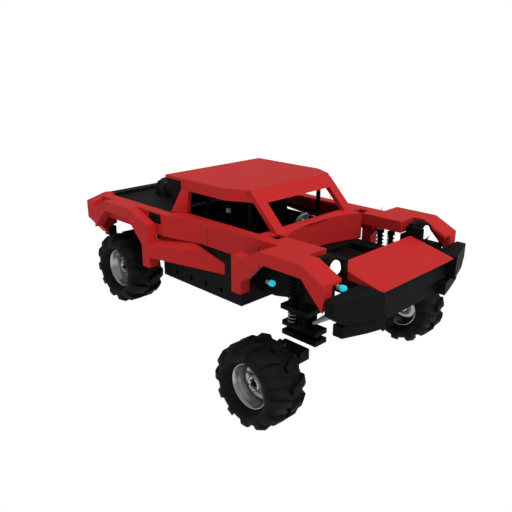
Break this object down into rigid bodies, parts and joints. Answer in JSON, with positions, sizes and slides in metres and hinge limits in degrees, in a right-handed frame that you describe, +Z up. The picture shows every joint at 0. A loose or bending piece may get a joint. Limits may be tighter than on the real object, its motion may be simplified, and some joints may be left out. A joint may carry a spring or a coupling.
{
  "type": "model trophy truck",
  "caption": "Brick-built model trophy truck with an open cab, flared fenders, hanging front wheels, swept bumpers, rolling wheels and front steering.",
  "frame": {"origin": "on the floor under the middle of the bounding box", "axes": "+X forward along the longest extent, +Y to the driver's left, +Z up"},
  "size_m": [0.3922, 0.2858, 0.18],
  "materials": {
    "red_plastic": "smooth moulded",
    "black_plastic": "smooth moulded",
    "grey_plastic": "smooth moulded",
    "tyre_rubber": "moulded tread",
    "rim_metal": "metallised",
    "white_lens": "clear lens",
    "cyan_lens": "clear tinted lens"
  },
  "bodies": {
    "root": {"arch_lamps": "cyan_lens", "bed_deck": "black_plastic", "bed_side_left": "red_plastic", "bed_side_right": "red_plastic", "cab_rear_panel": "black_plastic", "cab_tub": "black_plastic", "cowl_panel": "red_plastic", "door_panel_left": "red_plastic", "door_panel_right": "red_plastic", "engine_block": "black_plastic", "fender_left": "red_plastic", "fender_posts": "red_plastic", "fender_right": "red_plastic", "front_arms": "black_plastic", "front_coilovers": "black_plastic", "front_frame": "black_plastic", "headlight_housing_left": "black_plastic", "headlight_housing_right": "black_plastic", "headlight_lenses": "white_lens", "hood_panel": "red_plastic", "lower_bumper": "black_plastic", "quarter_panel_left": "red_plastic", "quarter_panel_right": "red_plastic", "rear_axle": "black_plastic", "rear_coilovers": "black_plastic", "rear_frame": "black_plastic", "rear_links": "black_plastic", "rear_pillar_left": "red_plastic", "rear_pillar_right": "red_plastic", "rocker_left": "black_plastic", "rocker_right": "black_plastic", "roll_cage": "black_plastic", "roof_panel": "red_plastic", "seat_left": "black_plastic", "seat_right": "black_plastic", "side_pod_left": "red_plastic", "side_pod_right": "red_plastic", "spare_tyre": "tyre_rubber", "steering_column": "grey_plastic", "steering_links": "grey_plastic", "tail_corner_left": "red_plastic", "tail_corner_right": "red_plastic", "upper_bumper": "black_plastic", "windshield_frame": "red_plastic"},
    "knuckle_right": {"knuckle_right": "black_plastic"},
    "wheel_front_right": {"rim_front_right": "rim_metal", "tyre_front_right": "tyre_rubber"},
    "wheel_rear_right": {"rim_rear_right": "rim_metal", "tyre_rear_right": "tyre_rubber"},
    "knuckle_left": {"knuckle_left": "black_plastic"},
    "wheel_front_left": {"rim_front_left": "rim_metal", "tyre_front_left": "tyre_rubber"},
    "wheel_rear_left": {"rim_rear_left": "rim_metal", "tyre_rear_left": "tyre_rubber"}
  },
  "joints": [
    {"name": "steer_right", "type": "hinge", "parent": "root", "child": "knuckle_right", "pos_m": [0.12302, -0.084, 0.0408], "axis": [-0.1558, 0, 0.9878], "range_deg": [-25, 25]},
    {"name": "spin_front_right", "type": "hinge", "parent": "knuckle_right", "child": "wheel_front_right", "pos_m": [0.12302, -0.1209, 0.0408], "axis": [0, 1, 0], "continuous": true},
    {"name": "spin_rear_right", "type": "hinge", "parent": "root", "child": "wheel_rear_right", "pos_m": [-0.12663, -0.0914, 0.0408], "axis": [0, 1, 0], "continuous": true},
    {"name": "steer_left", "type": "hinge", "parent": "root", "child": "knuckle_left", "pos_m": [0.12302, 0.084, 0.0408], "axis": [-0.1558, 0, 0.9878], "range_deg": [-25, 25]},
    {"name": "spin_front_left", "type": "hinge", "parent": "knuckle_left", "child": "wheel_front_left", "pos_m": [0.12302, 0.1209, 0.0408], "axis": [0, 1, 0], "continuous": true},
    {"name": "spin_rear_left", "type": "hinge", "parent": "root", "child": "wheel_rear_left", "pos_m": [-0.12663, 0.0914, 0.0408], "axis": [0, 1, 0], "continuous": true}
  ],
  "couplings": [
    {"joint": "steer_right", "follows": "steer_left", "ratio": 1}
  ]
}
